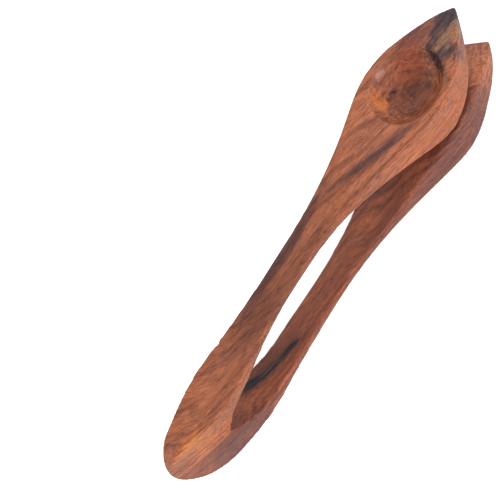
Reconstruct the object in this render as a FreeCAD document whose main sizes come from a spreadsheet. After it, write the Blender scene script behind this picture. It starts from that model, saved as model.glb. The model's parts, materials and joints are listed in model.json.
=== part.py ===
"""A pair of carved wooden musical spoons, in millimetres.

Two alike hardwood limbs are glued back to back at the heel, one turned over. Each limb is a
flat outer deck with a scooped bowl, a slim springy neck and a gently crowned back. The backs face
each other and clack together when the limbs are squeezed.

Each limb is drawn from its heel end (x = 0) to its tip along +X, with the glue plane at
z = 0 and the flat outer deck at z = half_height. The placements then lay the pair on the
lower deck, with the origin under the middle of its bounding box and +Z up.
"""
import FreeCAD, Part
import math
import os
import Sketcher

ORIGIN_GEOMETRY = -1
START_POINT = 1
END_POINT = 2
CENTRE_POINT = 3
SPLINE_DEGREE = 3
POLE_MARKER_RADIUS = 1.0
UPRIGHT = FreeCAD.Rotation()
TURNED_OVER = FreeCAD.Rotation(FreeCAD.Vector(1, 0, 0), 180)
ACROSS = FreeCAD.Vector(0, 1, 0)
BACK_LINE_EDGE = "Edge1"

# Driving dimensions. Those that end in _x are distances from the heel end.
SIZES = {
    "overall_length": 245.0,
    "half_height": 19.5,
    "glue_thickness": 0.2,
    "crotch_x": 32.5,
    "end_half_width": 0.8,
    "blank_width": 50.0,
    "saw_margin": 5.0,
    "deck_end_x": 215.0,
    "tip_drop": 2.0,
    "tip_thickness": 1.5,
    "crown_radius": 300.0,
    "crown_overcut": 1.0,
    "bowl_centre_x": 203.5,
    "bowl_length": 38.0,
    "bowl_width": 34.5,
    "bowl_depth": 9.0,
    "bowl_centre_rise": 6.5,
    "spring_axis_x": 89.0,
    "neck_thickness": 4.0,
    "knuckle_clearance": 0.15,
}

# Control poles of the back line between the crotch and the tip: distance from the heel
# end, and height above the glue plane.
BACK_POLES = {
    "root": (41.5, 9.0),
    "shoulder": (55.5, 14.5),
    "neck_low": (91.0, 15.7),
    "neck_mid": (124.0, 15.7),
    "neck_high": (154.5, 14.3),
    "throat": (186.0, 3.0),
    "crown": (204.0, -1.0),
    "rise": (228.5, 5.0),
}

# Control poles of one side of the outline between the heel end and the tip: distance from
# the heel end, and half the width there.
SIDE_POLES = {
    "toe": (13.0, 5.0),
    "heel": (36.0, 12.0),
    "ankle": (64.0, 9.5),
    "neck": (95.5, 7.5),
    "collar": (130.5, 7.5),
    "flare": (159.5, 12.8),
    "cheek": (188.0, 20.3),
    "head": (204.0, 24.5),
    "leaf": (231.5, 13.5),
}

TIP_ARC_RADIUS = (
    "((Sizes.overall_length - Sizes.deck_end_x) ^ 2 + Sizes.tip_drop ^ 2)"
    " / (2 * Sizes.tip_drop)"
)
BOWL_RIM_SHARE = (
    "sqrt(1 - (Sizes.bowl_centre_rise / (Sizes.bowl_depth + Sizes.bowl_centre_rise)) ^ 2)"
)
# The neck springs about an axis through the middle of its thickness. The nose on the spoon
# is as round as the neck is thick and turns in a slightly larger socket in the heel half.
SPRING_AXIS_HEIGHT = "Sizes.half_height - Sizes.neck_thickness / 2"
NOSE_RADIUS = "Sizes.neck_thickness / 2"
SOCKET_RADIUS = "Sizes.neck_thickness / 2 + Sizes.knuckle_clearance"

os.makedirs("parts", exist_ok=True)
doc = FreeCAD.newDocument("MusicalSpoons")


def fill_sheet():
    """Every driving dimension, with an alias for the expressions to read."""
    sheet = doc.addObject("Spreadsheet::Sheet", "Sizes")
    rows = dict(SIZES)
    for name, (along, height) in BACK_POLES.items():
        rows[f"back_{name}_x"] = along
        rows[f"back_{name}_z"] = height
    for name, (along, half_width) in SIDE_POLES.items():
        rows[f"side_{name}_x"] = along
        rows[f"side_{name}_y"] = half_width
    for row, (alias, value) in enumerate(rows.items(), start=1):
        sheet.set(f"A{row}", alias)
        sheet.set(f"B{row}", str(value))
        sheet.setAlias(f"B{row}", alias)
    doc.recompute()


def point_at(sketch, across, up):
    """The sketch point that two expressions stand for."""
    return FreeCAD.Vector(
        float(sketch.evalExpression(across)), float(sketch.evalExpression(up)), 0
    )


def hold(sketch, geometry, point, name, across=None, up=None):
    """Tie a point of the sketch to an expression across, up, or both."""
    for kind, expression in (("DistanceX", across), ("DistanceY", up)):
        if expression is None:
            continue
        distance = float(sketch.evalExpression(expression))
        constraint = Sketcher.Constraint(
            kind, ORIGIN_GEOMETRY, START_POINT, geometry, point, distance
        )
        index = sketch.addConstraint(constraint)
        label = f"{name}_{kind[-1].lower()}"
        sketch.renameConstraint(index, label)
        sketch.setExpression(f"Constraints.{label}", expression)


def origin_plane(body, role):
    """One of the body's three origin planes, such as XY_Plane."""
    return next(f for f in body.Origin.OriginFeatures if f.Role == role)


def add_sketch(body, name, plane_role):
    """A sketch on one of the body's own origin planes."""
    sketch = body.newObject("Sketcher::SketchObject", name)
    sketch.AttachmentSupport = [(origin_plane(body, plane_role), "")]
    sketch.MapMode = "FlatFace"
    return sketch


def add_spline(sketch, name, poles):
    """A clamped cubic spline whose control poles are held at pairs of expressions."""
    spans = len(poles) - SPLINE_DEGREE
    knots = [span / spans for span in range(spans + 1)]
    multiplicities = [SPLINE_DEGREE + 1] + [1] * (spans - 1) + [SPLINE_DEGREE + 1]
    starts = [point_at(sketch, across, up) for across, up in poles]
    curve = Part.BSplineCurve()
    curve.buildFromPolesMultsKnots(starts, multiplicities, knots, False, SPLINE_DEGREE)
    spline = sketch.addGeometry(curve, False)
    for index, (across, up) in enumerate(poles):
        circle = Part.Circle(starts[index], FreeCAD.Vector(0, 0, 1), POLE_MARKER_RADIUS)
        marker = sketch.addGeometry(circle, True)
        sketch.addConstraint(Sketcher.Constraint("Weight", marker, 1.0))
        kind = "InternalAlignment:Sketcher::BSplineControlPoint"
        alignment = Sketcher.Constraint(kind, marker, CENTRE_POINT, spline, index)
        sketch.addConstraint(alignment)
        hold(sketch, marker, CENTRE_POINT, f"{name}{index}", across, up)
    return spline


def add_line(sketch, start, end):
    """A straight edge that joins two ends already drawn, each (geometry, point)."""
    segment = Part.LineSegment(sketch.getPoint(*start), sketch.getPoint(*end))
    line = sketch.addGeometry(segment, False)
    sketch.addConstraint(Sketcher.Constraint("Coincident", line, START_POINT, *start))
    sketch.addConstraint(Sketcher.Constraint("Coincident", line, END_POINT, *end))


def add_arc(sketch, centre, start, end):
    """An arc, counter-clockwise from start to end, all given as sketch points."""
    first = start - centre
    last = end - centre
    circle = Part.Circle(centre, FreeCAD.Vector(0, 0, 1), first.Length)
    first_angle = math.atan2(first.y, first.x)
    last_angle = math.atan2(last.y, last.x)
    return sketch.addGeometry(Part.ArcOfCircle(circle, first_angle, last_angle), False)


def add_rectangle(sketch, name, left, right, half_width):
    """A rectangle about the x axis, between two expressions."""
    corners = [(left, f"-({half_width})"), (right, f"-({half_width})")]
    corners += [(right, half_width), (left, half_width)]
    points = [point_at(sketch, *corner) for corner in corners]
    sides = []
    for index, corner in enumerate(corners):
        segment = Part.LineSegment(points[index], points[(index + 1) % len(points)])
        side = sketch.addGeometry(segment, False)
        hold(sketch, side, START_POINT, f"{name}{index}", *corner)
        sides.append(side)
    for index, side in enumerate(sides):
        following = sides[(index + 1) % len(sides)]
        joined = Sketcher.Constraint("Coincident", side, END_POINT, following, START_POINT)
        sketch.addConstraint(joined)


def draw_side_profile(sketch):
    """The limb seen from the side: round heel end, flat deck, raked tip and back line."""
    glue = "Sizes.glue_thickness / 2"
    deck = "Sizes.half_height"
    tip_top = "Sizes.half_height - Sizes.tip_drop"
    poles = [("Sizes.crotch_x", glue)]
    poles += [(f"Sizes.back_{name}_x", f"Sizes.back_{name}_z") for name in BACK_POLES]
    poles += [("Sizes.overall_length", f"{tip_top} - Sizes.tip_thickness")]
    back = add_spline(sketch, "back", poles)

    heel_centre = point_at(sketch, deck, "0")
    heel_top = point_at(sketch, deck, deck)
    heel_foot = point_at(sketch, f"{deck} - sqrt({deck} ^ 2 - ({glue}) ^ 2)", glue)
    heel = add_arc(sketch, heel_centre, heel_top, heel_foot)
    hold(sketch, heel, CENTRE_POINT, "heel_centre", deck, "0")
    hold(sketch, heel, START_POINT, "heel_top", deck, deck)
    hold(sketch, heel, END_POINT, "heel_foot", up=glue)

    tip_centre_up = f"{deck} - {TIP_ARC_RADIUS}"
    tip_centre = point_at(sketch, "Sizes.deck_end_x", tip_centre_up)
    tip_start = point_at(sketch, "Sizes.overall_length", tip_top)
    tip_end = point_at(sketch, "Sizes.deck_end_x", deck)
    tip = add_arc(sketch, tip_centre, tip_start, tip_end)
    hold(sketch, tip, CENTRE_POINT, "tip_centre", "Sizes.deck_end_x", tip_centre_up)
    hold(sketch, tip, END_POINT, "deck_end", "Sizes.deck_end_x", deck)
    hold(sketch, tip, START_POINT, "tip_top", "Sizes.overall_length")

    add_line(sketch, (heel, START_POINT), (tip, END_POINT))
    add_line(sketch, (tip, START_POINT), (back, END_POINT))
    add_line(sketch, (back, START_POINT), (heel, END_POINT))


def draw_outline(sketch):
    """The limb seen from above: pointed heel, slim neck and leaf-shaped head."""
    sides = []
    for name, sign in (("left", ""), ("right", "-")):
        poles = [("0", f"{sign}Sizes.end_half_width")]
        poles += [
            (f"Sizes.side_{pole}_x", f"{sign}Sizes.side_{pole}_y") for pole in SIDE_POLES
        ]
        poles += [("Sizes.overall_length", f"{sign}Sizes.end_half_width")]
        sides.append(add_spline(sketch, name, poles))
    left, right = sides
    add_line(sketch, (left, START_POINT), (right, START_POINT))
    add_line(sketch, (left, END_POINT), (right, END_POINT))


def draw_crown_section(sketch):
    """The section swept along the back line to round it: an arc that bulges down."""
    half = "Sizes.blank_width / 2"
    sag = f"Sizes.crown_radius - sqrt(Sizes.crown_radius ^ 2 - ({half}) ^ 2)"
    centre = point_at(sketch, "0", "Sizes.crown_radius")
    left_end = point_at(sketch, f"-({half})", sag)
    right_end = point_at(sketch, half, sag)
    crown = add_arc(sketch, centre, left_end, right_end)
    hold(sketch, crown, CENTRE_POINT, "crown_centre", "0", "Sizes.crown_radius")
    hold(sketch, crown, START_POINT, "crown_left", f"-({half})", sag)
    hold(sketch, crown, END_POINT, "crown_right", half)
    corners = []
    for name, across in (("left_foot", f"-({half})"), ("right_foot", half)):
        foot = point_at(sketch, across, "-Sizes.crown_overcut")
        corner = sketch.addGeometry(Part.Point(foot), True)
        hold(sketch, corner, START_POINT, name, across, "-Sizes.crown_overcut")
        corners.append((corner, START_POINT))
    add_line(sketch, (crown, START_POINT), corners[0])
    add_line(sketch, corners[0], corners[1])
    add_line(sketch, corners[1], (crown, END_POINT))


def carve_limb():
    """One whole limb, sawn from the side and from above, crowned on its back and scooped."""
    body = doc.addObject("PartDesign::Body", "carved_limb")
    profile = add_sketch(body, "side_profile", "XZ_Plane")
    draw_side_profile(profile)
    blank = body.newObject("PartDesign::Pad", "sawn_blank")
    blank.Profile = profile
    blank.SideType = "Symmetric"
    blank.setExpression("Length", "Sizes.blank_width")

    waste_outline = add_sketch(body, "waste_outline", "XY_Plane")
    draw_outline(waste_outline)
    margin = "Sizes.saw_margin"
    add_rectangle(
        waste_outline,
        "waste",
        f"-{margin}",
        f"Sizes.overall_length + {margin}",
        f"Sizes.blank_width / 2 + {margin}",
    )
    waste = body.newObject("PartDesign::Pocket", "sawn_outline")
    waste.Profile = waste_outline
    waste.Type = "ThroughAll"
    waste.SideType = "Symmetric"
    doc.recompute()

    section = body.newObject("Sketcher::SketchObject", "crown_section")
    section.AttachmentSupport = [(profile, BACK_LINE_EDGE)]
    section.MapMode = "NormalToEdge"
    draw_crown_section(section)
    crown = body.newObject("PartDesign::SubtractivePipe", "crowned_back")
    crown.Profile = section
    crown.Spine = (profile, [BACK_LINE_EDGE])
    crown.Mode = "Binormal"
    crown.Binormal = ACROSS
    doc.recompute()

    bowl = body.newObject("PartDesign::SubtractiveEllipsoid", "bowl")
    bowl.AttachmentSupport = [(origin_plane(body, "XY_Plane"), "")]
    bowl.MapMode = "FlatFace"
    bowl.setExpression("AttachmentOffset.Base.x", "Sizes.bowl_centre_x")
    bowl.setExpression(
        "AttachmentOffset.Base.z", "Sizes.half_height + Sizes.bowl_centre_rise"
    )
    bowl.setExpression("Radius1", "Sizes.bowl_depth + Sizes.bowl_centre_rise")
    bowl.setExpression("Radius2", f"Sizes.bowl_length / 2 / {BOWL_RIM_SHARE}")
    bowl.setExpression("Radius3", f"Sizes.bowl_width / 2 / {BOWL_RIM_SHARE}")
    return body


def spread_glue():
    """The thin film that fills the joint between the two heels."""
    body = doc.addObject("PartDesign::Body", "glue_line")
    outline = add_sketch(body, "glue_outline", "XY_Plane")
    draw_outline(outline)
    film = body.newObject("PartDesign::Pad", "glue_film")
    film.Profile = outline
    film.SideType = "Symmetric"
    film.setExpression("Length", "Sizes.glue_thickness")
    doc.recompute()

    beyond = add_sketch(body, "beyond_the_crotch", "XY_Plane")
    add_rectangle(
        beyond,
        "beyond",
        "Sizes.crotch_x",
        "Sizes.overall_length + Sizes.saw_margin",
        "Sizes.blank_width / 2",
    )
    trim = body.newObject("PartDesign::Pocket", "trimmed_film")
    trim.Profile = beyond
    trim.Type = "ThroughAll"
    trim.SideType = "Symmetric"
    return body


def knuckle_tool(name, radius):
    """Everything on the tip's side of the spring axis, with a round nose of this radius."""
    nose = doc.addObject("Part::Cylinder", f"{name}_nose")
    nose.Placement.Rotation = FreeCAD.Rotation(FreeCAD.Vector(1, 0, 0), 90)
    nose.setExpression("Radius", radius)
    nose.setExpression("Height", "Sizes.blank_width")
    nose.setExpression("Placement.Base.x", "Sizes.spring_axis_x")
    nose.setExpression("Placement.Base.y", "Sizes.blank_width / 2")
    nose.setExpression("Placement.Base.z", SPRING_AXIS_HEIGHT)
    block = doc.addObject("Part::Box", f"{name}_block")
    block.setExpression("Length", "Sizes.overall_length")
    block.setExpression("Width", "Sizes.blank_width")
    block.setExpression("Height", "Sizes.half_height + Sizes.saw_margin")
    block.setExpression("Placement.Base.x", "Sizes.spring_axis_x")
    block.setExpression("Placement.Base.y", "-Sizes.blank_width / 2")
    tool = doc.addObject("Part::Fuse", name)
    tool.Base = block
    tool.Tool = nose
    return tool


def lay_down(piece, rotation):
    """Put a piece with the lower deck on the ground and the middle of the length at x = 0."""
    piece.Placement.Rotation = rotation
    piece.setExpression("Placement.Base.x", "-Sizes.overall_length / 2")
    piece.setExpression("Placement.Base.z", "Sizes.half_height")


def split_limb(limb, socket_tool, nose_tool, side, rotation):
    """The heel half and the spoon of one side, parted where the neck springs."""
    pieces = []
    for kind, name, tool in (
        ("Part::Cut", f"heel_half_{side}", socket_tool),
        ("Part::Common", f"spoon_{side}", nose_tool),
    ):
        piece = doc.addObject(kind, name)
        piece.Base = limb
        piece.Tool = tool
        lay_down(piece, rotation)
        pieces.append(piece)
    return pieces


def check_and_write(pieces):
    """Write one file for each piece, once nothing in the document has failed."""
    doc.recompute()
    failed = [o.Name for o in doc.Objects if {"Invalid", "Error"} & set(o.State)]
    if failed:
        raise RuntimeError(f"these did not recompute: {failed}")
    for piece in pieces:
        if piece.Shape.isNull() or not piece.Shape.isValid() or len(piece.Shape.Solids) != 1:
            raise RuntimeError(f"{piece.Label} is not one valid solid")
    for piece in pieces:
        piece.Shape.exportStep(f"parts/{piece.Label}.step")
        print(piece.Label, round(piece.Shape.Volume, 1), "mm3")


fill_sheet()
limb = carve_limb()
glue = spread_glue()
lay_down(glue, UPRIGHT)
socket_tool = knuckle_tool("socket_tool", SOCKET_RADIUS)
nose_tool = knuckle_tool("nose_tool", NOSE_RADIUS)
nodes = [glue]
for side, rotation in (("upper", UPRIGHT), ("lower", TURNED_OVER)):
    nodes += split_limb(limb, socket_tool, nose_tool, side, rotation)
check_and_write(nodes)
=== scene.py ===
"""A pair of carved rosewood musical spoons, lying on the lower deck. Metres, +Z up.

Each carved half is one continuous piece of wood, rebuilt from its CAD nodes as a sanded
solid. Points on the wood are named in millimetres: along from the heel end, across from
the middle (minus Y is the near side) and up from the lower deck.
"""
import json
import math

import bmesh
import bpy
import numpy as np
from mathutils import Matrix, Vector, noise


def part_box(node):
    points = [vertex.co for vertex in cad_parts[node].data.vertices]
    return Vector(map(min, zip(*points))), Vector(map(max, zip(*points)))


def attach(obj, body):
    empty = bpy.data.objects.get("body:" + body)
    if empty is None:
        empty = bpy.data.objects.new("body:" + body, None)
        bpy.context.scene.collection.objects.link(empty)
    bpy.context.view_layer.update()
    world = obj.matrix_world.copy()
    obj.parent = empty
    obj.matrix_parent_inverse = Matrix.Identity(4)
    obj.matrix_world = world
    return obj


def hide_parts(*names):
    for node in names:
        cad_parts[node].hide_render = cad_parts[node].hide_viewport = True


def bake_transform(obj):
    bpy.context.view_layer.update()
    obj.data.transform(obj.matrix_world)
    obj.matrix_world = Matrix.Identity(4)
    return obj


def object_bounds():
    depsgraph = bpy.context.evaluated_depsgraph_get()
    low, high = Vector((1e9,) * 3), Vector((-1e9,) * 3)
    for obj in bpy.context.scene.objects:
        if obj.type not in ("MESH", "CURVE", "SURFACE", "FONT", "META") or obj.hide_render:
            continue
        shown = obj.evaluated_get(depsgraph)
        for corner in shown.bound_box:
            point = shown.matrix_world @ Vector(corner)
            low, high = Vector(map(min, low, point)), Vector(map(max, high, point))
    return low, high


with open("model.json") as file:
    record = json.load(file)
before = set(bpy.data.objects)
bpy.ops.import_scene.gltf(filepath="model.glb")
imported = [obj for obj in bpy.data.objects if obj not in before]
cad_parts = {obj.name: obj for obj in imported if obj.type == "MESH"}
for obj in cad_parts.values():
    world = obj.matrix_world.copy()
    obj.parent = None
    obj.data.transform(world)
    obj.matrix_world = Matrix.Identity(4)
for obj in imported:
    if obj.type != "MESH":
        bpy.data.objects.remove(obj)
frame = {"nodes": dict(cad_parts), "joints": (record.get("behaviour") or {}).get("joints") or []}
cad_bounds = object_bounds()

MM = 0.001
LOW, HIGH = cad_bounds
HEEL_END = LOW.x
GLUE_LOW, GLUE_HIGH = (corner.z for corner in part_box("glue_line"))
GLUE_HEIGHT = (GLUE_LOW + GLUE_HIGH) / 2
JOINTS = {joint["name"]: joint for joint in frame["joints"]}
SPRING_X = JOINTS["upper_flex"]["pos_m"][0]

VOXEL = 0.5 * MM
PLUG_HALF_LENGTH = 3.0 * MM
WAVE_LENGTH = 22.0 * MM
WAVE_DEPTH = 0.12 * MM

# How many times the solid is sanded: off the voxels' steps, then over the carved edges. An
# edge is noted by how much EDGE_ROUNDS more would take off it.
STEP_ROUNDS = 4
CARVE_ROUNDS = 24
EDGE_ROUNDS = 12

# The two halves and the two sides of each, as signs.
UPPER, LOWER = 1, -1
FAR, NEAR = 1, -1

# Places on the wood from here on are in millimetres.
GLUE_UP = GLUE_HEIGHT / MM
LENGTH = 245
BOWL_CENTRE = 203.5
BOWL_RIM = (19.0, 17.3)
KNOT = (206.0, 0.5, 0.0)
NECK_STARTS = (52, 70)
HEAD_STARTS = (120, 165)
TIP_STARTS = (226, 240)

# How the middle line of each half wanders, as a saw and a rasp leave it: along, across.
SHARED_WANDER = ((0, 1.6), (10, 1.0), (24, 0.1), (120, 0.0), (165, -0.6), (215, 0.0))
TIP_WANDER = {UPPER: (LENGTH, 1.7), LOWER: (LENGTH, -0.7)}
TIP_SHORTER = {UPPER: 1.0, LOWER: 0.7}
TIP_SHORTENS = (222, LENGTH)

# Where one side of one half is fuller or leaner than its twin: half, side, middle along,
# reach along, outward. Only wood this far from the glue, or this far along, is trimmed.
FREE_FROM_GLUE = (6, 19)
FREE_FROM_HEEL = (75, 110)
TRIMS = (
    (UPPER, NEAR, 50, 42, 2.6),
    (UPPER, NEAR, 8, 16, 2.2),
    (UPPER, FAR, 28, 26, -0.4),
    (UPPER, FAR, 112, 40, 0.6),
    (UPPER, NEAR, 160, 30, 0.5),
    (UPPER, NEAR, 202, 32, 0.9),
    (UPPER, FAR, 186, 18, 0.4),
    (UPPER, FAR, 228, 16, -0.9),
    (UPPER, FAR, 62.7, 2.2, -0.65),
    (LOWER, NEAR, 32, 30, -0.9),
    (LOWER, FAR, 68, 26, -1.5),
    (LOWER, NEAR, 196, 34, 0.5),
    (LOWER, NEAR, 238, 20, 0.6),
    (LOWER, FAR, 233, 16, 1.2),
)


# ---------------------------------------------------------------- the carved halves


def neck_plug(side):
    """A block that fills the running gap in one neck: the hull of the neck either side."""
    plug = bmesh.new()
    for node in (f"heel_half_{side}", f"spoon_{side}"):
        plug.from_mesh(frame["nodes"][node].data)
    for sign in (-1, 1):
        bmesh.ops.bisect_plane(
            plug,
            geom=plug.verts[:] + plug.edges[:] + plug.faces[:],
            plane_co=(SPRING_X + sign * PLUG_HALF_LENGTH, 0, 0),
            plane_no=(sign, 0, 0),
            clear_outer=True,
        )
    hull = bmesh.ops.convex_hull(plug, input=plug.verts[:])
    kept = {f for f in hull["geom"] if isinstance(f, bmesh.types.BMFace)}
    bmesh.ops.delete(plug, geom=[f for f in plug.faces if f not in kept], context="FACES")
    return plug


def joined_pair():
    """Both halves and the glue as one solid, in a fine even mesh."""
    whole = bmesh.new()
    for node in frame["nodes"].values():
        whole.from_mesh(node.data)
    for side in ("upper", "lower"):
        plug = neck_plug(side)
        mesh = bpy.data.meshes.new("plug")
        plug.to_mesh(mesh)
        plug.free()
        whole.from_mesh(mesh)
        bpy.data.meshes.remove(mesh)
    mesh = bpy.data.meshes.new("joined_pair")
    whole.to_mesh(mesh)
    whole.free()
    pair = bpy.data.objects.new("joined_pair", mesh)
    bpy.context.scene.collection.objects.link(pair)
    remesh = pair.modifiers.new("remesh", "REMESH")
    remesh.mode = "VOXEL"
    remesh.voxel_size = VOXEL
    depsgraph = bpy.context.evaluated_depsgraph_get()
    even = bpy.data.meshes.new_from_object(pair.evaluated_get(depsgraph))
    bpy.data.objects.remove(pair)
    return even


def places_of(mesh):
    flat = np.zeros(len(mesh.vertices) * 3, np.float32)
    mesh.vertices.foreach_get("co", flat)
    return flat.reshape(-1, 3).astype(np.float64)


def normals_of(mesh):
    flat = np.zeros(len(mesh.vertices) * 3, np.float32)
    mesh.vertices.foreach_get("normal", flat)
    return flat.reshape(-1, 3)


def put(mesh, places):
    mesh.vertices.foreach_set("co", places.astype(np.float32).ravel())
    mesh.update()


def smooth_step(value, start, end):
    share = np.clip((value - start) / (end - start), 0.0, 1.0)
    return share * share * (3.0 - 2.0 * share)


def sand(mesh, rounds, share):
    """Move every point towards the average of its neighbours, by a share of its own."""
    ends = np.zeros(len(mesh.edges) * 2, np.int32)
    mesh.edges.foreach_get("vertices", ends)
    first, second = ends.reshape(-1, 2).T
    places = places_of(mesh)
    count = len(places)
    neighbours = np.bincount(first, minlength=count) + np.bincount(second, minlength=count)
    for _ in range(rounds):
        average = np.empty_like(places)
        for axis in range(3):
            column = places[:, axis]
            total = np.bincount(first, column[second], count)
            total += np.bincount(second, column[first], count)
            average[:, axis] = total / neighbours
        places += (average - places) * share[:, None]
    put(mesh, places)


def in_millimetres(places):
    """Along from the heel end, across, and up from the lower deck."""
    return (places - np.array((HEEL_END, 0.0, 0.0))) / MM


def sanding_share(mesh):
    """How much each region was rounded over: the heads most, the bowls' rims least."""
    along, across, _ = in_millimetres(places_of(mesh)).T
    head = smooth_step(along, *HEAD_STARTS) * (1.0 - 0.5 * smooth_step(along, *TIP_STARTS))
    rim = np.hypot((along - BOWL_CENTRE) / BOWL_RIM[0], across / BOWL_RIM[1])
    away_from_rim = smooth_step(np.abs(rim - 0.95), 0.10, 0.22)
    neck = smooth_step(along, *NECK_STARTS) * (1.0 - head)
    rim_share, neck_share = 0.12, 0.45
    return head * (rim_share + (1.0 - rim_share) * away_from_rim) + neck * neck_share


def trimmed(places):
    """How far TRIMS moves each point across. The glued faces stay where they are."""
    along, across, _ = in_millimetres(places).T
    height = (places[:, 2] - GLUE_HEIGHT) / MM
    moved = np.zeros(len(places))
    for half, side, middle, reach, outward in TRIMS:
        bump = smooth_step(reach - np.abs(along - middle), 0.0, reach)
        free = np.maximum(
            smooth_step(height * half, *FREE_FROM_GLUE), smooth_step(along, *FREE_FROM_HEEL)
        )
        this_side = smooth_step(across * side, 0.0, 6.0)
        moved += side * outward * bump * free * this_side * (height * half > 0)
    return moved


def carve_by_hand(mesh):
    """The outline wanders a little, and every face has shallow, slow waves."""
    places = places_of(mesh)
    along = in_millimetres(places)[:, 0]
    places[:, 1] += trimmed(places) * MM
    for half in (UPPER, LOWER):
        mine = (places[:, 2] >= GLUE_HEIGHT) == (half == UPPER)
        line = (*SHARED_WANDER, TIP_WANDER[half])
        for (start, low), (end, high) in zip(line, line[1:]):
            inside = mine & (along >= start) & (along <= end)
            shift = low + (high - low) * smooth_step(along[inside], start, end)
            places[inside, 1] += shift * MM
        places[mine, 0] -= smooth_step(along[mine], *TIP_SHORTENS) * TIP_SHORTER[half] * MM
    put(mesh, places)
    waves = np.array([noise.noise(vertex.co / WAVE_LENGTH) for vertex in mesh.vertices])
    put(mesh, places + normals_of(mesh) * waves[:, None] * WAVE_DEPTH)


def note_edges(mesh):
    """Keep how far each point stands out of a smoother solid, in millimetres: the edges' wear and
    painted highlight, and the darker hollows.
    """
    smoother = mesh.copy()
    sand(smoother, EDGE_ROUNDS, np.full(len(mesh.vertices), 0.5))
    moved = (places_of(mesh) - places_of(smoother)) / MM
    bpy.data.meshes.remove(smoother)
    convex = np.einsum("ij,ij->i", moved, normals_of(mesh))
    mesh.attributes.new("edge", "FLOAT", "POINT").data.foreach_set("value", convex)


def slab(mesh, name, bottom=None, top=None):
    """The part of the solid between two heights, with its cut faces closed."""
    work = bmesh.new()
    work.from_mesh(mesh)
    for height, direction in ((bottom, -1), (top, 1)):
        if height is None:
            continue
        cut = bmesh.ops.bisect_plane(
            work,
            geom=work.verts[:] + work.edges[:] + work.faces[:],
            plane_co=(0, 0, height),
            plane_no=(0, 0, direction),
            clear_outer=True,
        )
        rim = [e for e in cut["geom_cut"] if isinstance(e, bmesh.types.BMEdge)]
        bmesh.ops.holes_fill(work, edges=rim, sides=0)
    piece_mesh = bpy.data.meshes.new(name)
    work.to_mesh(piece_mesh)
    work.free()
    piece = bpy.data.objects.new(name, piece_mesh)
    bpy.context.scene.collection.objects.link(piece)
    wood = piece_mesh.attributes.new("wood", "FLOAT_VECTOR", "POINT")
    wood.data.foreach_set("vector", in_millimetres(places_of(piece_mesh)).ravel())
    piece_mesh.polygons.foreach_set("use_smooth", [True] * len(piece_mesh.polygons))
    return piece


solid = joined_pair()
sand(solid, STEP_ROUNDS, np.full(len(solid.vertices), 0.5))
sand(solid, CARVE_ROUNDS, 0.5 * sanding_share(solid))
carve_by_hand(solid)
note_edges(solid)
upper = slab(solid, "upper_carved_half", bottom=GLUE_HIGH)
lower = slab(solid, "lower_carved_half", top=GLUE_LOW)
glue = slab(solid, "glue_film", bottom=GLUE_LOW, top=GLUE_HIGH)
bpy.data.meshes.remove(solid)


# ---------------------------------------------------------------- materials


class Nodes:
    """A short way to write a material's node tree."""

    def __init__(self, name):
        self.material = bpy.data.materials.new(name)
        self.material.use_nodes = True
        self.tree = self.material.node_tree
        self.shader = self.tree.nodes["Principled BSDF"]

    def add(self, kind, inputs=(), **settings):
        node = self.tree.nodes.new(kind)
        for key, value in settings.items():
            setattr(node, key, value)
        for key, value in dict(inputs).items():
            self.feed(node.inputs[key], value)
        return node

    def feed(self, socket, value):
        if isinstance(value, bpy.types.NodeSocket):
            self.tree.links.new(value, socket)
        else:
            socket.default_value = value

    def math(self, operation, first, second=0.0, third=0.0):
        node = self.add("ShaderNodeMath", operation=operation)
        for socket, value in zip(node.inputs, (first, second, third)):
            self.feed(socket, value)
        return node.outputs[0]

    def vector(self, operation, first, second=(0, 0, 0)):
        node = self.add("ShaderNodeVectorMath", operation=operation)
        self.feed(node.inputs[0], first)
        self.feed(node.inputs[1], second)
        return node.outputs["Value"] if operation in ("LENGTH", "DOT_PRODUCT") else node.outputs[0]

    def parts(self, vector):
        return tuple(self.add("ShaderNodeSeparateXYZ", {"Vector": vector}).outputs)

    def joined(self, along, across, up):
        return self.add("ShaderNodeCombineXYZ", {"X": along, "Y": across, "Z": up}).outputs[0]

    def scaled(self, vector, sizes):
        """The vector counted in steps of these sizes, in millimetres."""
        return self.vector("MULTIPLY", vector, [1.0 / size for size in sizes])

    def noise(self, vector, detail=3.0, roughness=0.5, offset=0.0, output="Fac"):
        if offset:
            vector = self.vector("ADD", vector, (offset, offset * 1.7, -offset))
        node = self.add(
            "ShaderNodeTexNoise",
            {"Vector": vector, "Scale": 1.0, "Detail": detail, "Roughness": roughness},
        )
        return node.outputs[output]

    def ramp(self, value, low, high):
        """0 at low, 1 at high, smooth between."""
        node = self.add(
            "ShaderNodeMapRange",
            {"Value": value, "From Min": low, "From Max": high},
            interpolation_type="SMOOTHSTEP",
        )
        return node.outputs["Result"]

    def mix(self, share, first, second, blend="MIX"):
        """Two colours. Sockets 6 and 7 and output 2 are the ones a Mix node has for them."""
        node = self.add("ShaderNodeMix", data_type="RGBA", blend_type=blend)
        self.feed(node.inputs[0], share)
        self.feed(node.inputs[6], first)
        self.feed(node.inputs[7], second)
        return node.outputs[2]


def srgb(red, green, blue):
    """A colour written as 0 to 255 sRGB, as the linear values that a shader takes."""

    def linear(level):
        level /= 255.0
        return level / 12.92 if level <= 0.04045 else ((level + 0.055) / 1.055) ** 2.4

    return (linear(red), linear(green), linear(blue), 1.0)


def place_of_wood(nodes):
    """Where a point of the wood is at rest, in millimetres, so nothing slides in a bend."""
    return nodes.add("ShaderNodeAttribute", attribute_name="wood").outputs["Vector"]


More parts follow.
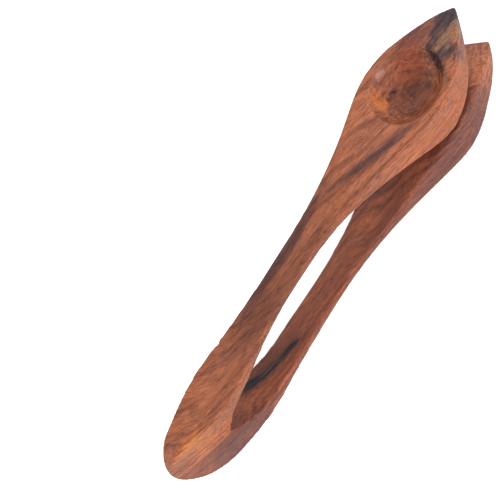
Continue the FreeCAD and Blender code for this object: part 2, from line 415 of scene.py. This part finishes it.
def patch(nodes, place, streak, centre, sizes, turn, edge):
    """1 in the middle of a ragged ellipsoid, 0 outside it. turn is about +Z, in degrees."""
    away = nodes.vector("SUBTRACT", place, centre)
    if turn:
        rotate = nodes.add("ShaderNodeVectorRotate", {"Vector": away}, rotation_type="Z_AXIS")
        rotate.inputs["Angle"].default_value = -math.radians(turn)
        away = rotate.outputs[0]
    distance = nodes.vector("LENGTH", nodes.scaled(away, sizes))
    ragged = nodes.noise(nodes.scaled(away, (6, 1.6, 1.6)), detail=4.0, offset=centre[0])
    for wave, depth in ((ragged, 2.2), (streak, 1.4)):
        wave = nodes.math("SUBTRACT", wave, 0.5)
        distance = nodes.math("MULTIPLY_ADD", wave, depth, distance)
    return nodes.ramp(distance, 1.0 + edge, 1.0 - edge)


def bowl_mask(nodes, place):
    """1 inside the hollow of the bowl, 0 on the deck and on the back."""
    along, across, up = nodes.parts(place)
    rim = nodes.vector(
        "LENGTH",
        nodes.scaled(
            nodes.vector("SUBTRACT", nodes.joined(along, across, 0.0), (BOWL_CENTRE, 0, 0)),
            (*BOWL_RIM, 1.0),
        ),
    )
    depth = nodes.math("ABSOLUTE", nodes.math("SUBTRACT", up, GLUE_UP))
    return nodes.math("MULTIPLY", nodes.ramp(rim, 1.02, 0.93), nodes.ramp(depth, 6.0, 9.0))


def swirl_figure(nodes, place):
    """Noise drawn out round a centre, as the grain runs round the knot in the bowl."""
    warp = nodes.noise(nodes.scaled(place, (9, 9, 9)), detail=2.0, output="Color")
    warp = nodes.vector("MULTIPLY", nodes.vector("SUBTRACT", warp, (0.5, 0.5, 0.5)), (9, 9, 0))
    away = nodes.vector("SUBTRACT", nodes.vector("ADD", place, warp), KNOT)
    x, y = nodes.parts(away)[:2]
    flat = nodes.joined(x, y, 0.0)
    radius = nodes.vector("LENGTH", flat)
    turn = nodes.vector("MULTIPLY", nodes.vector("NORMALIZE", flat), (1.6, 1.6, 0.0))
    ringed = nodes.vector("ADD", turn, nodes.joined(0.0, 0.0, nodes.math("DIVIDE", radius, 1.1)))
    return nodes.noise(ringed, detail=3.0, roughness=0.6)


# What a dark or a light streak multiplies the colour by, as do the darker hollows and the worn
# edges with their painted highlight.
SHADE = (0.52, 0.44, 0.46, 1.0)
SHINE = (1.38, 1.36, 1.30, 1.0)


def straightened(nodes, place, slant, heel_slant, seed):
    """The place on straight grain: leaning across the limb, more at the heel, and swaying."""
    along, across, up = nodes.parts(place)
    heel_part = nodes.math("SMOOTH_MIN", along, 55.0, 30.0)
    lean = nodes.math("MULTIPLY_ADD", heel_part, heel_slant, nodes.math("MULTIPLY", along, slant))
    grain = nodes.joined(along, nodes.math("ADD", across, lean), up)
    for sizes, detail, reach in (
        ((75, 32, 26), 1.0, (0, 16, 12)),
        ((24, 7, 7), 2.0, (0, 2.6, 2.2)),
    ):
        sway = nodes.noise(nodes.scaled(place, sizes), detail=detail, offset=seed, output="Color")
        sway = nodes.vector("SUBTRACT", sway, (0.5, 0.5, 0.5))
        grain = nodes.vector("ADD", grain, nodes.vector("MULTIPLY", sway, reach))
    return grain


def growth_rings(nodes, grain):
    """Noise that only changes from one growth layer to the next, 1.6 mm apart."""
    layer = nodes.vector("DOT_PRODUCT", grain, (0.0, 0.42, 0.9))
    return nodes.add(
        "ShaderNodeTexNoise",
        {"W": nodes.math("DIVIDE", layer, 1.6), "Scale": 1.0, "Detail": 3.0, "Roughness": 0.6},
        noise_dimensions="1D",
    ).outputs["Fac"]


def rosewood(name, palette, slant, heel_slant, seed, marks):
    """Oiled rosewood: growth layers, streaks, fibres and pores that run through the solid."""
    nodes = Nodes(name)
    place = place_of_wood(nodes)
    grain = straightened(nodes, place, slant, heel_slant, seed)
    rings = growth_rings(nodes, grain)
    broad = nodes.noise(nodes.scaled(grain, (60, 7, 5)), detail=3.0, offset=seed)
    streak = nodes.noise(nodes.scaled(grain, (20, 1.3, 1.2)), detail=3.0, roughness=0.6)
    fibre = nodes.noise(nodes.scaled(grain, (7, 0.45, 0.45)), detail=3.0, roughness=0.7)
    pore = nodes.noise(nodes.scaled(grain, (4.0, 0.34, 0.34)), detail=1.0)
    cloud = nodes.noise(nodes.scaled(place, (34, 16, 14)), detail=2.0, offset=seed + 5)
    mottle = nodes.noise(nodes.scaled(place, (5, 2, 2)), detail=4.0, roughness=0.65)
    swirl = swirl_figure(nodes, place)
    bowl = bowl_mask(nodes, place)
    straight = nodes.math("MULTIPLY_ADD", bowl, -0.6, 1.0)

    colour = nodes.mix(nodes.ramp(cloud, 0.36, 0.64), palette["brown"], palette["orange"])
    for low, high, strength, tint in ((0.50, 0.66, 0.55, "plum"), (0.46, 0.32, 0.40, "light")):
        share = nodes.math("MULTIPLY", nodes.ramp(broad, low, high), strength)
        colour = nodes.mix(share, colour, palette[tint])

    uneven = nodes.math("MULTIPLY_ADD", nodes.math("ADD", mottle, streak), 1.1, -0.1)
    for centre, sizes, turn, edge, strength, tint in marks:
        here = patch(nodes, place, streak, centre, sizes, turn, edge)
        here = nodes.math("MULTIPLY", here, strength)
        colour = nodes.mix(nodes.math("MULTIPLY", here, uneven), colour, tint)

    for figure, low, high, where, strength, tint in (
        (rings, 0.48, 0.66, straight, 0.50, SHADE),
        (rings, 0.46, 0.30, straight, 0.40, SHINE),
        (streak, 0.50, 0.66, straight, 0.55, SHADE),
        (streak, 0.46, 0.32, straight, 0.45, SHINE),
        (fibre, 0.50, 0.64, straight, 0.75, SHADE),
        (fibre, 0.46, 0.32, straight, 0.50, SHINE),
        (swirl, 0.50, 0.64, bowl, 0.85, SHADE),
        (swirl, 0.46, 0.32, bowl, 0.70, SHINE),
        (mottle, 0.50, 0.70, bowl, 0.45, SHADE),
    ):
        share = nodes.math("MULTIPLY", nodes.ramp(figure, low, high), strength)
        share = nodes.math("MULTIPLY", share, where)
        colour = nodes.mix(share, colour, tint, "MULTIPLY")

    pores = nodes.math("MULTIPLY", nodes.ramp(pore, 0.60, 0.70), 0.6)
    colour = nodes.mix(pores, colour, palette["pore"])
    edges = nodes.add("ShaderNodeAttribute", attribute_name="edge").outputs["Fac"]
    # The convex edges lighter: partly wear, partly a painted highlight along the ridges. The wear
    # also makes them glossier.
    worn_and_highlit_edges = nodes.math("MULTIPLY", nodes.ramp(edges, 0.05, 0.35), 0.45)
    colour = nodes.mix(worn_and_highlit_edges, colour, SHINE, "MULTIPLY")
    # The hollows and creases darker.
    darker_in_hollows = nodes.math("MULTIPLY", nodes.ramp(edges, -0.05, -0.35), 0.6)
    colour = nodes.mix(darker_in_hollows, colour, SHADE, "MULTIPLY")
    nodes.feed(nodes.shader.inputs["Base Color"], colour)

    roughness = nodes.math("MULTIPLY_ADD", streak, 0.22, 0.29)
    for mask, change in ((pores, 0.25), (worn_and_highlit_edges, -0.15), (bowl, -0.18)):
        roughness = nodes.math("MULTIPLY_ADD", mask, change, roughness)
    nodes.feed(nodes.shader.inputs["Roughness"], roughness)
    nodes.shader.inputs["Specular IOR Level"].default_value = 0.30
    height = nodes.math("MULTIPLY_ADD", pores, -1.0, nodes.math("MULTIPLY", fibre, 0.5))
    bump = nodes.add("ShaderNodeBump", {"Height": height, "Strength": 0.3, "Distance": 0.0001})
    nodes.feed(nodes.shader.inputs["Normal"], bump.outputs["Normal"])
    return nodes.material


UPPER_PALETTE = {
    "brown": srgb(122, 68, 43),
    "orange": srgb(140, 77, 46),
    "light": srgb(153, 90, 56),
    "plum": srgb(95, 54, 44),
    "pore": srgb(46, 22, 18),
}
LOWER_PALETTE = {
    "brown": srgb(114, 62, 43),
    "orange": srgb(127, 69, 45),
    "light": srgb(138, 79, 57),
    "plum": srgb(87, 47, 41),
    "pore": srgb(42, 20, 17),
}

BLACK = srgb(26, 18, 22)
INK = srgb(46, 30, 36)
SLATE = srgb(50, 41, 44)
PLUM = srgb(70, 42, 42)
ROSE = srgb(84, 44, 37)
CHESTNUT = srgb(86, 38, 22)
UMBER = srgb(70, 34, 22)
EMBER = srgb(118, 50, 18)
FLAME = srgb(142, 74, 34)
AMBER = srgb(166, 94, 42)
GOLD = srgb(168, 98, 42)
ROSY = srgb(142, 86, 62)
PEACH = srgb(164, 98, 66)
SAPWOOD = srgb(114, 87, 68)

# Marks painted on the wood, some of them painted light and shade, each over those before it:
# centre, half sizes, turn in degrees, softness, strength, colour.
UPPER_MARKS = (
    # The deck, the near sides and the far side of the tip, as large soft tints.
    ((205, 0, 39), (42, 40, 12), 0, 0.4, 0.5, ROSY),
    ((28, -14, 26), (40, 7, 11), 0, 0.5, 0.75, FLAME),
    ((200, -19, 27), (48, 7, 12), 0, 0.4, 0.45, FLAME),
    ((120, 0, 40), (80, 12, 5), 0, 0.5, 0.35, ROSY),
    ((229, 9, 38), (17, 6.5, 12), -14, 0.5, 0.7, PLUM),
    # The slate-coloured tip, with a wedge of sapwood.
    ((234.5, 1.0, 38), (13.5, 3.8, 12), 8, 0.35, 0.85, SLATE),
    ((241, 1.0, 36), (7, 7, 30), 0, 0.4, 0.8, SLATE),
    ((224, -8.5, 38), (4.5, 7.5, 9), 40, 0.4, 0.8, SLATE),
    ((235, -9, 32), (16, 4, 4), -30, 0.4, 0.6, SLATE),
    ((232.5, -5.4, 38), (9.5, 3.3, 6), -6, 0.3, 0.85, SAPWOOD),
    ((236, -7.8, 38), (6, 0.7, 5), -33, 0.5, 0.5, AMBER),
    # Streaks along the deck, and darker wood in the neck.
    ((164, -4.2, 39), (19, 1.4, 5), -25, 0.5, 0.85, PLUM),
    ((175, -9.5, 39), (17, 2.6, 5), -22, 0.6, 0.65, PLUM),
    ((120, 5.8, 39), (26, 2.8, 7), 2, 0.5, 0.85, PLUM),
    ((97, 6.4, 39), (20, 3.0, 7), 3, 0.5, 0.85, PLUM),
    ((118, 0, 39), (42, 14, 24), 0, 0.6, 0.42, UMBER),
    ((19, -7, 34), (16, 3.5, 7), -5, 0.5, 0.6, GOLD),
    ((83, 1, 39), (18, 11, 20), 0, 0.7, 0.60, UMBER),
    # The bowl, dark in the middle, partly the wood and partly painted shade in the hollow, with
    # painted light on its heel-end wall, a painted shadow inside its tip-end rim, and a knot.
    # Painted shade: the whole hollow darker, over the wood's own darker tone.
    ((203, 2.0, 30), (17, 14, 8.5), 0, 0.4, 0.75, CHESTNUT),
    ((207, 1.5, 30), (8, 6, 8), 0, 0.6, 0.6, UMBER),
    # Painted light: the bowl's wall at the heel end, lighter and more orange where the lamps fall
    # on it.
    ((192, 8.8, 35), (5.0, 2.6, 8), 55, 0.4, 0.75, AMBER),
    ((214, 8, 34), (8, 7, 9), 0, 0.6, 0.6, EMBER),
    # Painted shadow: a dark crescent along the rim at the tip end, on the wall that faces away
    # from the lamps.
    ((219, -7, 37), (2.0, 10, 6), -27, 0.5, 0.85, BLACK),
    ((199.3, 8.0, 32), (2.6, 1.2, 6), -20, 0.6, 0.8, UMBER),
    ((199.3, 7.8, 32), (1.3, 0.5, 6), -35, 0.3, 1.0, BLACK),
)
LOWER_MARKS = (
    # A black streak with fine pale cracks, on the inner face near the crotch.
    ((62, 2.5, 6), (26, 5.5, 10), -12, 0.7, 0.5, UMBER),
    ((65, 0.6, 5), (18, 2.0, 6), -11, 0.7, 0.75, INK),
    ((52, 4.6, 7), (8, 2.6, 6), -20, 0.6, 0.8, INK),
    ((77, -1.6, 5), (5.5, 1.5, 5), -8, 0.45, 1.0, BLACK),
    ((66, 0.0, 5), (12, 0.8, 5), -11, 0.45, 1.0, BLACK),
    ((53.5, 3.6, 7), (8, 1.8, 6), -17, 0.45, 1.0, BLACK),
    ((62, 1.2, 5), (5, 0.16, 5), -12, 0.5, 0.5, SAPWOOD),
    ((70, -0.6, 5), (3, 0.16, 5), -14, 0.5, 0.5, SAPWOOD),
    # The back, darkened with painted shade under the upper head, then the near sides and the tip,
    # as large soft tints.
    ((195, 0, 19), (60, 26, 6), 0, 0.3, 0.2, UMBER),
    ((25, -13, 8), (34, 8, 15), 0, 0.3, 0.8, ROSE),
    ((195, -22, 8), (45, 8, 12), 0, 0.4, 0.7, ROSE),
    ((233, -6, 16), (13, 12, 9), 0, 0.6, 0.8, PEACH),
)

upper.data.materials.append(
    rosewood("rosewood_upper", UPPER_PALETTE, 0.20, 0.35, 3.0, UPPER_MARKS)
)
lower.data.materials.append(
    rosewood("rosewood_lower", LOWER_PALETTE, 0.20, 0.15, 11.0, LOWER_MARKS)
)


def dried_glue():
    nodes = Nodes("dried_glue")
    place = place_of_wood(nodes)
    speckle = nodes.noise(nodes.scaled(place, (1.5, 1.5, 1.5)), detail=3.0)
    nodes.feed(
        nodes.shader.inputs["Base Color"],
        nodes.mix(speckle, srgb(60, 34, 26), srgb(112, 68, 48)),
    )
    nodes.feed(nodes.shader.inputs["Roughness"], nodes.math("MULTIPLY_ADD", speckle, 0.2, 0.4))
    return nodes.material


glue.data.materials.append(dried_glue())


# ---------------------------------------------------------------- the carved halves in place of the CAD parts, and the glue on the heel

for piece, body, nodes_replaced, slot in (
    (upper, "upper_spoon", ("heel_half_upper", "spoon_upper"), "upper_wood"),
    (lower, "lower_spoon", ("heel_half_lower", "spoon_lower"), "lower_wood"),
):
    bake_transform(piece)
    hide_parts(*nodes_replaced)
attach(glue, "heel")
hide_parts("glue_line")


# ---------------------------------------------------------------- camera, light and floor


def add_camera():
    """From above the near side, with the heel at lower left and the tips at upper right."""
    towards_tips = 0.8 * MM
    middle = Vector(((LOW.x + HIGH.x) / 2 + towards_tips, 0, GLUE_HEIGHT))
    distance = 0.615
    height_angle = math.radians(55.36)
    roll = math.radians(-32.84)
    picture_width = 0.2257
    beside = Vector((-0.0345, 0.0009))

    back = Vector((0, -math.cos(height_angle), math.sin(height_angle)))
    along = Vector((1, 0, 0))
    right = along.cross(back)
    picture_right = math.cos(roll) * right - math.sin(roll) * along
    picture_up = math.sin(roll) * right + math.cos(roll) * along
    aim = middle + picture_right * beside.x + picture_up * beside.y
    place = middle + back * distance
    looking_back = (place - aim).normalized()
    side = picture_up.cross(looking_back).normalized()
    up = looking_back.cross(side)
    data = bpy.data.cameras.new("camera")
    data.sensor_width = 36.0
    data.lens = data.sensor_width * distance / picture_width
    camera = bpy.data.objects.new("camera", data)
    camera.matrix_world = Matrix.Translation(place) @ Matrix(
        (side, up, looking_back)
    ).transposed().to_4x4()
    bpy.context.scene.collection.objects.link(camera)
    bpy.context.scene.camera = camera


LIGHTS_AIM = Vector((0, 0, 0.02))

# Each light's name, place, size, power and whether the gloss mirrors it.
LIGHTS = (
    ("key", (0.28, -0.86, 0.57), 1.1, 8.7, False),
    ("window", (0.28, -0.87, 0.37), 0.26, 1.8, True),
    ("top", (-0.1, -0.32, 0.86), 0.9, 6.0, False),
)

FLOOR_DROP = 0.5 * MM


def add_area_light(name, place, size, power, mirrored):
    """A square soft light. Only a mirrored one shows as a highlight in the wood's gloss."""
    data = bpy.data.lights.new(name, "AREA")
    data.size = size
    data.energy = power
    lamp = bpy.data.objects.new(name, data)
    lamp.location = place
    lamp.rotation_mode = "QUATERNION"
    lamp.rotation_quaternion = (Vector(place) - LIGHTS_AIM).to_track_quat("Z", "Y")
    lamp.visible_glossy = mirrored
    bpy.context.scene.collection.objects.link(lamp)


def add_floor():
    """A pale floor that the wood's gloss doesn't mirror: it is brighter than white."""
    bpy.ops.mesh.primitive_grid_add(x_subdivisions=8, y_subdivisions=8, size=6.0)
    floor = bpy.context.object
    floor.name = "floor"
    floor.location.z = LOW.z - FLOOR_DROP
    floor.visible_glossy = False
    nodes = Nodes("pale_floor")
    nodes.shader.inputs["Base Color"].default_value = srgb(250, 250, 250)
    nodes.shader.inputs["Roughness"].default_value = 0.9
    nodes.shader.inputs["Specular IOR Level"].default_value = 0.1
    nodes.shader.inputs["Emission Color"].default_value = (1, 1, 1, 1)
    nodes.shader.inputs["Emission Strength"].default_value = 0.25
    floor.data.materials.append(nodes.material)


def light_world(strength):
    world = bpy.data.worlds.new("studio")
    world.use_nodes = True
    background = world.node_tree.nodes["Background"]
    background.inputs["Color"].default_value = (1, 1, 1, 1)
    background.inputs["Strength"].default_value = strength
    bpy.context.scene.world = world


add_camera()
add_floor()
light_world(1.0)
for light in LIGHTS:
    add_area_light(*light)
bpy.context.scene.view_settings.view_transform = "Standard"
